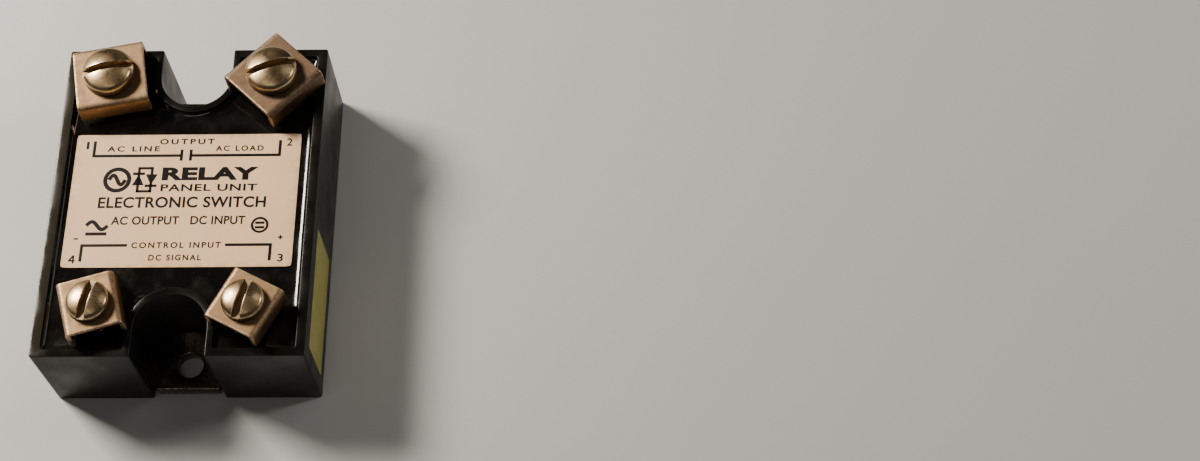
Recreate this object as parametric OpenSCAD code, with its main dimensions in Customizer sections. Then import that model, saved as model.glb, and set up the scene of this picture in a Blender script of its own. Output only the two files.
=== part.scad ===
/* [Case] */
// Width of the case across the terminals
case_w = 45; // [44:0.5:48]
// Length of the case from the input end to the output end
case_l = 57.6; // [57:0.2:60]
// Height of the case rim above the mounting face
case_h = 18.6; // [18:0.2:20]
// Thickness of the two long walls
side_wall = 1.7; // [1.2:0.1:2]
// Thickness of the two end walls
end_wall = 1.4; // [1.2:0.1:1.8]
// Thickness of the wall round each mounting notch
notch_wall = 1.15; // [0.8:0.05:1.4]
// Width of each mounting notch
notch_w = 12.25; // [11:0.25:12.5]
// Depth of the potting surface below the rim
potting_drop = 1; // [0.6:0.1:1.6]

/* [Base plate] */
// Thickness of the metal base plate
base_t = 2.4; // [2:0.1:3]
// Distance between the two mounting holes
hole_spacing = 47.6; // [47.4:0.1:47.8]
// Diameter of the two mounting holes
hole_d = 4.5; // [4:0.1:5]
// Distance from the input end of the case back to the end of the base plate
input_setback = 0.7; // [0.3:0.1:1.2]
// Distance from the output end of the case back to the end of the base plate
output_setback = 1.6; // [0.3:0.1:1.8]
// Gap between the base plate and each side of the notch
tongue_gap = 0.8; // [0.5:0.1:1.2]

/* [Terminals] */
// Distance of the two output screws from the centre line
load_x = 14; // [13.5:0.1:14.2]
// Distance of the two output screws from the middle of the case
load_y = 21.7; // [21.2:0.1:21.9]
// Distance of the two input screws from the centre line
input_x = 12.6; // [12.2:0.1:14]
// Distance of the two input screws from the middle of the case
input_y = 20.9; // [20:0.1:21]
// Height of the seats that the clamp plates rest on
seat_z = 21.6; // [21.5:0.1:23]
// Diameter of the two output posts
load_post_d = 7.5; // [7:0.1:8]
// Diameter of the two input posts
input_post_d = 6; // [5.6:0.1:6.4]
// Angle of each clamp plate's lips from the width direction
plate_angles = [11, 46.5, 62.5, 106.5]; // [0:0.5:180]

/* [Clamp plates] */
// Side of the square output plates
load_plate = 12; // [11.5:0.1:12]
// Side of the square input plates
input_plate = 9.5; // [9:0.1:9.8]
// Thickness of the output plates
load_plate_t = 0.9; // [0.7:0.05:1]
// Thickness of the input plates
input_plate_t = 0.8; // [0.7:0.05:0.9]
// Gap between the case rim and the plates' lips
lip_gap = 0.1; // [0.1:0.05:0.3]

/* [Screws] */
// Head diameter of the output screws
load_head_d = 8.7; // [8:0.1:9.2]
// Head height of the output screws
load_head_h = 3.2; // [2.8:0.1:3.5]
// Head diameter of the input screws
input_head_d = 7.1; // [6.8:0.1:7.5]
// Head height of the input screws
input_head_h = 2.5; // [2.2:0.1:2.9]
// Thread diameter of the output screws
load_thread_d = 4.17; // [4:0.01:4.2]
// Thread diameter of the input screws
input_thread_d = 3.5; // [3.4:0.01:3.6]
// Length of the output screws under the head
load_screw_l = 9.5; // [8:0.5:10]
// Length of the input screws under the head
input_screw_l = 8; // [7:0.5:9]
// Angle of each screw's slot from the width direction
slot_angles = [12, 18, 76, 78]; // [0:1:180]

/* [Labels] */
// Width of the top label
label_w = 38.5; // [36:0.5:39]
// Length of the top label
label_l = 25; // [22:0.5:26]
// Length of the side label
side_label_l = 21.5; // [18:0.5:24]
// Height of the side label
side_label_h = 12.5; // [10:0.5:14]

/* [Electronics] */
// Width of the ceramic substrate
substrate_w = 34; // [32:0.5:36]
// Length of the ceramic substrate
substrate_l = 25; // [24:0.5:25.5]
// Side of each square thyristor chip
chip_side = 8.6; // [7.5:0.1:9]
// Width of the control board
board_w = 38; // [36:0.5:39]
// Length of the control board
board_l = 21.7; // [20:0.1:21.8]

/* [Hidden] */
$fn = 64;
eps = 0.01;
over = 5;

// Case and potting
hole_y = hole_spacing / 2;
notch_r = notch_w / 2;
pocket_w = case_w - 2 * side_wall;
pocket_l = case_l - 2 * end_wall;
tongue_w = notch_w - 2 * tongue_gap;
potting_z = case_h - potting_drop;
bond_gap = 0.05;
label_t = 0.15;
label_shift = -0.3;
recess_t = 0.12;
side_label_y = -15.25;
side_label_z = 9.25;

// Terminal positions, counted clockwise from the far left
axes = [[-load_x, load_y], [load_x, load_y], [input_x, -input_y], [-input_x, -input_y]];
running_gap = 0.05;
plate_hole_gap = 0.25;
plate_corner_r = 0.6;
bend_r = 1;
lip_z = case_h + lip_gap;
slot_w = 1.25;
slot_share = 0.56;
side_share = 0.62;
bore_spare = 0.6;
load_post_z = 9;
input_post_z = 11;
flange_t = 1.6;
load_flange_d = 10;
input_flange_d = 8.4;

// Electronics, stacked up from the base plate
ceramic_t = 0.63;
copper_t = 0.3;
chip_t = 0.35;
substrate_y = 2.3;
pads_z = base_t + ceramic_t;
chips_z = pads_z + copper_t;
chip_top = chips_z + chip_t;
pad_w = 14.75;
pad_l = 23;
pad_gap = 1.5;
chip_a = [-10, 8];
chip_b = [10, -3];
strap_t = 0.5;
strap_w = 5;
strap_top = 6.6;
lead_t = 0.8;
lead_w = 5;
load_foot_y = 13.4;
lead_foot = 1;
lead_inset = 1;
lead_lap = 3;
board_z = 9;
board_t = 1.2;
board_y = -4.85;
board_top = board_z + board_t;
pin_d = 0.9;
pin_stub = 0.6;
input_strap_w = 4;
input_strap_lap = 2.6;
wire_d = 0.6;
wire_reach = 1.2;
body_rise = 0.3;

// ---- shared shapes ----

module box(low, high) {
    translate(low) cube(high - low);
}

// Both mounting notches in plan, widened by grow
module notches(grow = 0) {
    for (s = [-1, 1]) {
        translate([0, s * hole_y]) circle(r = notch_r + grow);
        translate([-notch_r - grow, s > 0 ? hole_y : -hole_y - over - grow])
            square([notch_w + 2 * grow, over + grow]);
    }
}

// The inside of the case in plan
module cavity_plan() {
    difference() {
        square([pocket_w, pocket_l], center = true);
        notches(notch_wall);
    }
}

// The base plate in plan: a rectangle with a tongue into each notch
module base_plan() {
    square([pocket_w - 2 * bond_gap, pocket_l - 2 * bond_gap], center = true);
    translate([-tongue_w / 2, input_setback - case_l / 2])
        square([tongue_w, case_l - input_setback - output_setback]);
}

module rounded_square(side, r) {
    square([side, side - 2 * r], center = true);
    square([side - 2 * r, side], center = true);
    for (x = [-1, 1], y = [-1, 1])
        translate([x * (side / 2 - r), y * (side / 2 - r)]) circle(r = r);
}

// ---- case, base plate, potting and labels ----

module case_shell() {
    color([0.07, 0.07, 0.075])
    difference() {
        linear_extrude(case_h) difference() {
            square([case_w, case_l], center = true);
            notches();
            cavity_plan();
        }
        translate([0, 0, -eps]) linear_extrude(base_t + eps) square([pocket_w, pocket_l], center = true);
        box([case_w / 2 - recess_t, side_label_y - side_label_l / 2, side_label_z - side_label_h / 2],
            [case_w / 2 + over, side_label_y + side_label_l / 2, side_label_z + side_label_h / 2]);
    }
}

module base_plate() {
    color([0.55, 0.5, 0.46])
    linear_extrude(base_t) difference() {
        base_plan();
        for (s = [-1, 1]) translate([0, s * hole_y]) circle(d = hole_d);
    }
}

// The epoxy that fills the case round everything sealed inside
module potting() {
    color([0.03, 0.03, 0.035])
    difference() {
        translate([0, 0, base_t]) linear_extrude(potting_z - base_t) cavity_plan();
        power_stage();
        control_stage();
        for (i = [0:3]) terminal_post(i, false);
    }
}

module top_label() {
    color([0.86, 0.78, 0.74])
    translate([label_shift, 0, potting_z + label_t / 2]) cube([label_w, label_l, label_t], center = true);
}

module side_label() {
    color([0.72, 0.7, 0.4])
    box([case_w / 2 - recess_t, side_label_y - side_label_l / 2, side_label_z - side_label_h / 2],
        [case_w / 2, side_label_y + side_label_l / 2, side_label_z + side_label_h / 2]);
}

// ---- terminals: i is 0 and 1 for the output pair, 2 and 3 for the input pair ----

function is_load(i) = i < 2;
function plate_t(i) = is_load(i) ? load_plate_t : input_plate_t;
function thread_d(i) = is_load(i) ? load_thread_d : input_thread_d;
function screw_l(i) = is_load(i) ? load_screw_l : input_screw_l;
function post_z(i) = is_load(i) ? load_post_z : input_post_z;

// A round post with a hexagonal foot, bored for the screw
module terminal_post(i, bored = true) {
    bore_z = seat_z + plate_t(i) - screw_l(i) - bore_spare;
    translate([axes[i][0], axes[i][1], 0])
    difference() {
        union() {
            translate([0, 0, post_z(i)])
                cylinder(d = is_load(i) ? load_post_d : input_post_d, h = seat_z - post_z(i));
            translate([0, 0, post_z(i)])
                cylinder(d = is_load(i) ? load_flange_d : input_flange_d, h = flange_t, $fn = 6);
        }
        if (bored)
            translate([0, 0, bore_z])
                cylinder(d = thread_d(i) + 2 * running_gap, h = seat_z - bore_z + eps);
    }
}

// A square plate with two opposite edges bent down to keep the wire in
module clamp_plate(i) {
    side = is_load(i) ? load_plate : input_plate;
    t = plate_t(i);
    drop = seat_z + t - lip_z;
    color([0.78, 0.67, 0.58])
    translate([axes[i][0], axes[i][1], seat_z + t]) rotate(plate_angles[i] - 90)
    difference() {
        intersection() {
            rotate([90, 0, 0]) linear_extrude(side, center = true) saddle_profile(side, t, drop);
            translate([0, 0, -drop - eps])
                linear_extrude(drop + 2 * eps) rounded_square(side, plate_corner_r);
        }
        translate([0, 0, -drop]) cylinder(d = thread_d(i) + 2 * plate_hole_gap, h = drop + eps);
    }
}

module saddle_profile(side, t, drop) {
    difference() {
        union() {
            translate([-side / 2, -drop]) square([side, drop - bend_r]);
            translate([-side / 2 + bend_r, -drop]) square([side - 2 * bend_r, drop]);
            for (s = [-1, 1]) translate([s * (side / 2 - bend_r), -bend_r]) circle(r = bend_r);
        }
        translate([-side / 2 + t, -drop - eps]) square([side - 2 * t, drop - t + eps]);
    }
}

// A slotted screw: a cylinder cut by a sphere makes the domed head
module terminal_screw(i) {
    head_r = (is_load(i) ? load_head_d : input_head_d) / 2;
    head_h = is_load(i) ? load_head_h : input_head_h;
    dome_h = head_h * (1 - side_share);
    dome_r = (head_r * head_r + dome_h * dome_h) / (2 * dome_h);
    color([0.72, 0.63, 0.5])
    translate([axes[i][0], axes[i][1], seat_z + plate_t(i)]) {
        difference() {
            intersection() {
                cylinder(r = head_r, h = head_h + eps);
                translate([0, 0, head_h - dome_r]) sphere(r = dome_r);
            }
            rotate(slot_angles[i]) box([-head_r - over, -slot_w / 2, head_h * (1 - slot_share)],
                                       [head_r + over, slot_w / 2, head_h + over]);
        }
        translate([0, 0, -screw_l(i)]) cylinder(d = thread_d(i), h = screw_l(i) + eps);
    }
}

// ---- power stage on the base plate ----

module power_stage() {
    ceramic_substrate();
    copper_pads();
    thyristor(chip_a);
    thyristor(chip_b);
    cathode_strap(chip_a, 1);
    cathode_strap(chip_b, -1);
    load_lead(0);
    load_lead(1);
    gate_leads();
    snubber_leads();
}

module ceramic_substrate() {
    color([0.93, 0.92, 0.88])
    translate([0, substrate_y, base_t + ceramic_t / 2])
        cube([substrate_w, substrate_l, ceramic_t], center = true);
}

module copper_pads() {
    color([0.78, 0.45, 0.3])
    for (s = [-1, 1])
        translate([s * (pad_w + pad_gap) / 2, substrate_y, pads_z + copper_t / 2])
            cube([pad_w, pad_l, copper_t], center = true);
}

module thyristor(at) {
    color([0.45, 0.46, 0.5])
    translate([at[0], at[1], chips_z + chip_t / 2]) cube([chip_side, chip_side, chip_t], center = true);
}

// A bridge from the top of one chip to the other chip's pad; way is +1 towards the right
module cathode_strap(at, way) {
    chip_leg = -7;
    pad_leg = 3;
    color([0.8, 0.5, 0.32])
    translate([0, at[1] - strap_w / 2, 0]) mirror([way > 0 ? 0 : 1, 0, 0]) {
        box([chip_leg - 6, 0, chip_top], [chip_leg, strap_w, chip_top + strap_t]);
        box([chip_leg - strap_t, 0, chip_top], [chip_leg, strap_w, strap_top]);
        box([chip_leg - strap_t, 0, strap_top - strap_t], [pad_leg, strap_w, strap_top]);
        box([pad_leg - strap_t, 0, chips_z], [pad_leg, strap_w, strap_top]);
        box([pad_leg - strap_t, 0, chips_z], [pad_leg + 2.5, strap_w, chips_z + strap_t]);
    }
}

// A copper strap from a pad up to the foot of an output post
module load_lead(i) {
    side = i == 0 ? -1 : 1;
    color([0.8, 0.5, 0.32])
    translate([side * (load_x - lead_inset) - lead_w / 2, load_foot_y, 0]) {
        box([0, -lead_foot, chips_z], [lead_w, 0, chips_z + lead_t]);
        box([0, -lead_t, chips_z], [lead_w, 0, load_post_z]);
        box([0, -lead_t, load_post_z - lead_t], [lead_w, load_y - load_foot_y + lead_lap, load_post_z]);
    }
}

module pin(at, z) {
    translate([at[0], at[1], z]) cylinder(d = pin_d, h = board_top + pin_stub - z, $fn = 24);
}

// One pin from each chip's gate corner to the board
module gate_leads() {
    color([0.8, 0.8, 0.78]) {
        pin(gate_at(chip_a), chip_top);
        pin(gate_at(chip_b), chip_top);
    }
}

function gate_at(chip) = chip + [chip[0] < 0 ? -3.4 : 3.4, -3.4];
function snubber_at(s) = [s * 1.8, -7.6];

// One pin from each pad to the board
module snubber_leads() {
    color([0.8, 0.8, 0.78])
    for (s = [-1, 1]) pin(snubber_at(s), chips_z);
}

// ---- control stage on the board ----

module control_stage() {
    control_board(false);
    input_lead(2);
    input_lead(3);
    optocoupler();
    input_resistor();
    protection_diode();
    input_transistor();
    gate_resistors();
    snubber_resistor();
    snubber_capacitor();
}

module control_board(drilled = true) {
    color([0.15, 0.35, 0.2])
    difference() {
        translate([0, board_y, board_z + board_t / 2]) cube([board_w, board_l, board_t], center = true);
        if (drilled)
            for (at = [gate_at(chip_a), gate_at(chip_b), snubber_at(-1), snubber_at(1)])
                translate([at[0], at[1], board_z - eps])
                    cylinder(d = pin_d, h = board_t + 2 * eps, $fn = 24);
    }
}

// A flat strap from the board out to the foot of an input post
module input_lead(i) {
    color([0.8, 0.5, 0.32])
    box([axes[i][0] - input_strap_w / 2, -input_y - input_strap_lap, board_top],
        [axes[i][0] + input_strap_w / 2, board_y - board_l / 2 + input_strap_lap, input_post_z]);
}

// A part with a round body lying along X and two bent leads
module axial_part(at, body_d, body_l) {
    reach = body_l / 2 + wire_reach;
    rise = body_d / 2 + body_rise;
    translate([at[0], at[1], board_top + rise]) {
        rotate([0, 90, 0]) cylinder(d = body_d, h = body_l, center = true);
        rotate([0, 90, 0]) cylinder(d = wire_d, h = 2 * reach, center = true, $fn = 24);
        for (s = [-1, 1])
            translate([s * reach, 0, -rise]) cylinder(d = wire_d, h = rise + wire_d / 2, $fn = 24);
    }
}

// A six-legged package
module optocoupler() {
    color([0.1, 0.1, 0.11])
    translate([0, -2.6, board_top]) {
        box([-4.4, -3.2, 0.5], [4.4, 3.2, 3.9]);
        for (x = [-2.54, 0, 2.54], s = [-1, 1])
            translate([x, s * 3.4, 1.2]) cube([0.6, 0.5, 2.4], center = true);
    }
}

module input_resistor() {
    color([0.75, 0.66, 0.5]) axial_part([10.5, -8.2], 2.4, 6.3);
}

module protection_diode() {
    color([0.12, 0.12, 0.12]) axial_part([10.5, -11.3], 2.7, 5.2);
}

// A flat-sided cylinder on three short legs
module input_transistor() {
    color([0.12, 0.12, 0.12])
    translate([0, -11.4, board_top]) {
        translate([0, 0, 1]) difference() {
            cylinder(d = 4.8, h = 4.6);
            box([-3, 1.4, -eps], [3, 3, 4.7]);
        }
        for (x = [-1.27, 0, 1.27])
            translate([x, 0, 0.55]) cube([0.45, 0.45, 1.1], center = true);
    }
}

module gate_resistors() {
    color([0.75, 0.66, 0.5])
    for (y = [-6.4, -9.6]) axial_part([-11, y], 2.3, 6.3);
}

module snubber_resistor() {
    color([0.6, 0.62, 0.66]) axial_part([-8, 3.2], 3.4, 9);
}

module snubber_capacitor() {
    color([0.8, 0.65, 0.2])
    box([3, 1, board_top], [16, 5.4, board_top + 5.8]);
}

case_shell();
base_plate();
potting();
top_label();
side_label();
color([0.75, 0.65, 0.42]) terminal_post(0);  // load_terminal_1
color([0.75, 0.65, 0.42]) terminal_post(1);  // load_terminal_2
color([0.75, 0.65, 0.42]) terminal_post(2);  // input_terminal_3
color([0.75, 0.65, 0.42]) terminal_post(3);  // input_terminal_4
clamp_plate(0);  // clamp_plate_1
clamp_plate(1);  // clamp_plate_2
clamp_plate(2);  // clamp_plate_3
clamp_plate(3);  // clamp_plate_4
terminal_screw(0);  // terminal_screw_1
terminal_screw(1);  // terminal_screw_2
terminal_screw(2);  // terminal_screw_3
terminal_screw(3);  // terminal_screw_4
ceramic_substrate();
copper_pads();
thyristor(chip_a);  // thyristor_a
thyristor(chip_b);  // thyristor_b
cathode_strap(chip_a, 1);  // cathode_strap_a
cathode_strap(chip_b, -1);  // cathode_strap_b
load_lead(0);  // load_lead_1
load_lead(1);  // load_lead_2
input_lead(2);  // input_lead_3
input_lead(3);  // input_lead_4
gate_leads();
snubber_leads();
control_board();
optocoupler();
input_resistor();
protection_diode();
input_transistor();
gate_resistors();
snubber_resistor();
snubber_capacitor();
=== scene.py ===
"""Visual model of a potted solid state relay, built round its CAD frame.

The frame holds every size that matters: each class below reads the box of the CAD node that it
stands for and adds the detail that a CAD solid leaves out, such as rounded edges, the raised edge
of the potting, thread turns, bent sheet and print. Drawing sizes are in millimetres, and meshes are
scaled to metres as they are made.
"""

from __future__ import annotations

import logging
import math
from dataclasses import dataclass
from enum import Enum
from functools import cache
from typing import Callable, Iterable, Optional, Sequence, Union

import bmesh
import bpy
import numpy as np
from mathutils import Matrix, Vector
from mathutils.geometry import delaunay_2d_cdt

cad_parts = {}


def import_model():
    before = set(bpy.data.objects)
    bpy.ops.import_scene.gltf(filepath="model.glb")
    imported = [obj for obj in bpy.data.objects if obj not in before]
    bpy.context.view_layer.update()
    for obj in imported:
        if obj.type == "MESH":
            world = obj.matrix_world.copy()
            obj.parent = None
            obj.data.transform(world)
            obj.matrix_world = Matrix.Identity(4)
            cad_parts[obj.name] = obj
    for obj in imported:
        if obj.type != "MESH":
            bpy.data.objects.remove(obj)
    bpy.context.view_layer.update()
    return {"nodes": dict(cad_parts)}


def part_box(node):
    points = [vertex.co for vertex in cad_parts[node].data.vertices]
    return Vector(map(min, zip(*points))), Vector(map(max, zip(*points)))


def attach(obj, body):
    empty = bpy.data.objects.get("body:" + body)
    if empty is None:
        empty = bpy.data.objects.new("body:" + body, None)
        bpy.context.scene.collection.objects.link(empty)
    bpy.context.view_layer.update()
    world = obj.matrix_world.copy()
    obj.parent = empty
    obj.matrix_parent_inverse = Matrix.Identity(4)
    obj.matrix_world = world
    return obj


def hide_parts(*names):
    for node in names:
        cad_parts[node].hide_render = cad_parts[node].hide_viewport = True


LOG = logging.getLogger("relay")
MM = 0.001
TURN = 2 * math.pi
ROOT = "relay"
WELD = 2e-4  # points this close, in millimetres, are one point
HOLE_CENTRE = 23.8  # from the middle to a mounting hole and to its notch's arc
NOTCH_RADIUS = 6.125
Array = np.ndarray
Colour = tuple[float, float, float]
Value = Union[float, "Wire"]


# ---------------------------------------------------------------------------------------------
# Meshes from arrays
# ---------------------------------------------------------------------------------------------


def stand(name: str, data: bpy.types.ID) -> bpy.types.Object:
    """Makes an object of its data and puts it in the scene."""
    made = bpy.data.objects.new(name, data)
    bpy.context.scene.collection.objects.link(made)
    return made


def points_of(mesh: bpy.types.Mesh) -> Array:
    """A mesh's points as an array of shape (n, 3)."""
    points = np.empty(len(mesh.vertices) * 3, np.float32)
    mesh.vertices.foreach_get("co", points)
    return points.reshape(-1, 3)


def shade(mesh: bpy.types.Mesh, sharp: float) -> None:
    """Shades a mesh smooth, apart from the edges over an angle in degrees."""
    mesh.polygons.foreach_set("use_smooth", [True] * len(mesh.polygons))
    mesh.set_sharp_from_angle(angle=math.radians(sharp))


class Skin:
    """Collects patches of points, in millimetres, and welds them into one mesh.

    Each point carries a wear value, which the materials read as the attribute "edge": 0 on a flat
    face, up to 1 on an exposed edge, and down to -1 where metal is darkened as painted shade in
    slots, under screw heads and down the plates' lips. On the case, values below 0 stand for resin
    instead, and below -1 also for a paler colour, which is painted light on the left rim.
    """

    def __init__(self) -> None:
        """Starts with no points."""
        self.points: list[Array] = []
        self.wear: list[Array] = []
        self.faces: list[Array] = []
        self.count = 0

    def _add(self, points: Array, wear: Union[float, Array]) -> int:
        """Stores points and returns the number of the first one.

        Args:
            points: array of shape (n, 3).
            wear: one value, or one for each point.
        """
        first = self.count
        self.points.append(points.reshape(-1, 3))
        self.wear.append(np.broadcast_to(np.asarray(wear, float), (len(self.points[-1]),)).copy())
        self.count += len(self.points[-1])
        return first

    def grid(self, points: Array, wear: Optional[Array] = None, wrap: bool = False) -> "Skin":
        """Adds a surface of quads between the rows and columns of an array of points.

        Args:
            points: array of shape (rows, columns, 3).
            wear: wear by row and column, or None for no wear.
            wrap: whether the last column joins the first one.

        Returns:
            This skin, so that calls can be chained.
        """
        rows, columns = points.shape[:2]
        values = 0.0 if wear is None else np.broadcast_to(wear, (rows, columns)).ravel()
        first = self._add(points, values)
        index = first + np.arange(rows * columns).reshape(rows, columns)
        if wrap:
            index = np.concatenate([index, index[:, :1]], axis=1)
        low, high = index[:-1], index[1:]
        quads = np.stack([low[:, :-1], low[:, 1:], high[:, 1:], high[:, :-1]], axis=-1)
        self.faces.append(quads.reshape(-1, 4))
        return self

    def fan(self, ring: Array, centre: Sequence[float]) -> "Skin":
        """Closes a ring of points with triangles to one centre point."""
        first = self._add(np.vstack([ring, np.asarray(centre, float)[None]]), 0.0)
        index = first + np.arange(len(ring))
        middle = np.full(len(ring), first + len(ring))
        self.faces.append(np.stack([index, np.roll(index, -1), middle], axis=-1))
        return self

    def cap(self, outline: Array, holes: Iterable[Array], z: float) -> "Skin":
        """Fills a flat outline, leaving its holes open.

        Args:
            outline: closed ring of shape (n, 2).
            holes: closed rings inside it.
            z: height of the flat face.

        Returns:
            This skin, so that calls can be chained.
        """
        rings = [outline, *holes]
        starts = np.cumsum([0] + [len(ring) for ring in rings[:-1]])
        plan = np.vstack(rings)
        borders = [
            (int(start + i), int(start + (i + 1) % len(ring)))
            for start, ring in zip(starts, rings)
            for i in range(len(ring))
        ]
        points, _, faces, *_ = delaunay_2d_cdt([Vector(p) for p in plan], borders, [], 1, 1e-6)
        flat = np.array([(p.x, p.y, z) for p in points])
        faces = np.array(faces, int)
        middles = flat[faces][..., :2].mean(axis=1)
        first = self._add(flat, 0.0)
        covered = np.zeros(len(faces), bool)
        for ring in rings[1:]:
            covered |= within(middles, ring)
        self.faces.append(first + faces[~covered])
        return self

    def build(self, name: str, sharp: float = 38.0) -> bpy.types.Object:
        """Welds the patches and returns the piece, in metres and with outward normals.

        Args:
            name: name of the piece.
            sharp: angle in degrees above which an edge is shaded sharp.

        Returns:
            The piece, as an object in the scene.
        """
        mesh = bpy.data.meshes.new(name)
        points = np.vstack(self.points) * MM
        mesh.vertices.add(len(points))
        mesh.vertices.foreach_set("co", points.astype(np.float32).ravel())
        loops = np.concatenate([f.ravel() for f in self.faces])
        totals = np.concatenate([np.full(len(f), f.shape[1]) for f in self.faces])
        mesh.loops.add(len(loops))
        mesh.loops.foreach_set("vertex_index", loops.astype(np.int32))
        mesh.polygons.add(len(totals))
        mesh.polygons.foreach_set("loop_start", (np.cumsum(totals) - totals).astype(np.int32))
        mesh.update(calc_edges=True)
        mesh.attributes.new("edge", "FLOAT", "POINT").data.foreach_set(
            "value", np.concatenate(self.wear).astype(np.float32)
        )
        shell = bmesh.new()
        shell.from_mesh(mesh)
        bmesh.ops.remove_doubles(shell, verts=shell.verts, dist=WELD * MM)
        bmesh.ops.dissolve_degenerate(shell, edges=shell.edges, dist=WELD * MM)
        bmesh.ops.recalc_face_normals(shell, faces=shell.faces)
        shell.to_mesh(mesh)
        shell.free()
        shade(mesh, sharp)
        return stand(name, mesh)


def lift(ring: Array, z: Union[float, Array]) -> Array:
    """A flat ring of shape (n, 2) raised to height z, which may differ from point to point."""
    return np.column_stack([ring, np.broadcast_to(z, len(ring))])


def circle(radius: float, steps: int = 96, centre: Sequence[float] = (0, 0)) -> Array:
    """A closed ring: centre + radius * (cos a, sin a)."""
    a = np.arange(steps) * TURN / steps
    return np.column_stack([np.cos(a), np.sin(a)]) * radius + np.asarray(centre, float)


def within(points: Array, ring: Array) -> Array:
    """True for points in a closed ring: a line to the right of them crosses it an odd number of times."""
    x, y = points[:, :1], points[:, 1:]
    x0, y0 = ring[:, 0], ring[:, 1]
    x1, y1 = np.roll(x0, -1), np.roll(y0, -1)
    spans = (y0 > y) != (y1 > y)
    rise = np.where(y1 == y0, 1.0, y1 - y0)
    return np.sum(spans & (x < x0 + (y - y0) * (x1 - x0) / rise), axis=1) % 2 == 1


def inset(ring: Array, distance: float) -> Array:
    """A closed counter-clockwise ring moved inwards.

    Each point moves along the mitre of its two edges: (n1 + n2) / (1 + n1.n2) times the distance,
    where n1 and n2 are the edges' inward normals.
    """
    ahead = np.roll(ring, -1, axis=0) - ring
    ahead /= np.linalg.norm(ahead, axis=1, keepdims=True)
    normal = np.column_stack([-ahead[:, 1], ahead[:, 0]])
    before = np.roll(normal, 1, axis=0)
    share = 1 + np.sum(normal * before, axis=1, keepdims=True)
    return ring + (normal + before) / np.maximum(share, 0.2) * distance


def rounded(corners: Sequence[Sequence[float]], radius: float, steps: int = 6) -> Array:
    """A closed counter-clockwise polygon with every corner replaced by an arc.

    The arc of a corner runs between the points where a circle of the radius touches both edges.
    """
    points = np.asarray(corners, float)
    back = np.roll(points, 1, axis=0) - points
    ahead = np.roll(points, -1, axis=0) - points
    back /= np.linalg.norm(back, axis=1, keepdims=True)
    ahead /= np.linalg.norm(ahead, axis=1, keepdims=True)
    half = np.arccos(np.clip(np.sum(back * ahead, axis=1), -1, 1)) / 2
    bisector = back + ahead
    bisector /= np.linalg.norm(bisector, axis=1, keepdims=True)
    centre = points + bisector * (radius / np.sin(half))[:, None]
    start = points + back * (radius / np.tan(half))[:, None] - centre
    stop = points + ahead * (radius / np.tan(half))[:, None] - centre
    first = np.arctan2(start[:, 1], start[:, 0])
    sweep = (np.arctan2(stop[:, 1], stop[:, 0]) - first + math.pi) % TURN - math.pi
    angle = first[:, None] + sweep[:, None] * np.linspace(0, 1, steps + 1)
    arc = np.stack([np.cos(angle), np.sin(angle)], axis=-1) * radius + centre[:, None]
    return arc.reshape(-1, 2)


def rectangle(low: Sequence[float], high: Sequence[float], radius: float, steps: int = 6) -> Array:
    """A rectangle with rounded corners, counter-clockwise."""
    (x0, y0), (x1, y1) = low, high
    return rounded([(x0, y0), (x1, y0), (x1, y1), (x0, y1)], radius, steps)


def quarter(radius: float, steps: int) -> Array:
    """Inset and drop of a rounded edge, from the side face over to the top face.

    Point t of a quarter circle is (radius * (1 - cos t), radius * (1 - sin t)).
    """
    t = np.linspace(0, math.pi / 2, steps + 1)
    return np.column_stack([radius * (1 - np.cos(t)), radius * (1 - np.sin(t))])


def slab(skin: Skin, outline: Array, z: tuple[float, float], bevel: float, holes: Iterable[Array] = (),
         steps: int = 3) -> Skin:
    """Adds an upright prism with rounded top and bottom edges.

    Args:
        skin: the skin to add to.
        outline: closed counter-clockwise ring.
        z: bottom and top heights.
        bevel: radius of the edges, on the outline and on the holes.
        holes: closed counter-clockwise rings of the holes.
        steps: points in each rounded edge.
    """
    curve = quarter(bevel, steps)
    low = [(d, z[0] + drop) for d, drop in curve[::-1]]
    high = [(d, z[1] - drop) for d, drop in curve]
    section = low + high
    wear = np.array([math.sin(math.pi * (0.5 + i) / (steps + 1)) for i in range(steps + 1)] * 2)
    holes = list(holes)
    for ring, way in [(outline, 1.0)] + [(hole, -1.0) for hole in holes]:
        rows = np.stack([lift(inset(ring, way * d), height) for d, height in section])
        skin.grid(rows, wear=wear[:, None], wrap=True)
    for height in z:
        skin.cap(inset(outline, bevel), [inset(hole, -bevel) for hole in holes], height)
    return skin


def revolve(skin: Skin, profile: Array, angles: Array, wear: Optional[Array] = None,
            radius_at: Optional[Callable[[Array, Array], Array]] = None) -> Skin:
    """Adds a profile of (radius, height) points turned about the Z axis.

    Args:
        skin: the skin to add to.
        profile: array of shape (n, 2).
        angles: angles of the columns, in radians.
        wear: wear of each profile point.
        radius_at: turns the (radius, angle) grids into another radius, for a shape that isn't round.
    """
    radius, angle = np.meshgrid(profile[:, 0], angles, indexing="ij")
    if radius_at is not None:
        radius = radius_at(radius, angle)
    height = np.broadcast_to(profile[:, 1][:, None], radius.shape)
    points = np.stack([radius * np.cos(angle), radius * np.sin(angle), height], axis=-1)
    return skin.grid(points, wear=None if wear is None else wear[:, None], wrap=True)


def node_box(node: str) -> tuple[Array, Array]:
    """The lowest and highest corner of a CAD node, in millimetres."""
    low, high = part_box(node)
    return np.array(low) / MM, np.array(high) / MM


def place(piece: bpy.types.Object, at: Sequence[float], turn: float = 0.0) -> bpy.types.Object:
    """Moves and turns the points of a piece's mesh, so that the object itself stays at the origin.

    Args:
        piece: the piece to place.
        at: new place of the mesh's origin, in millimetres.
        turn: angle about the Z axis, in degrees.
    """
    move = Matrix.Translation(Vector(at) * MM) @ Matrix.Rotation(math.radians(turn), 4, "Z")
    piece.data.transform(move)
    return piece


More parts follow.
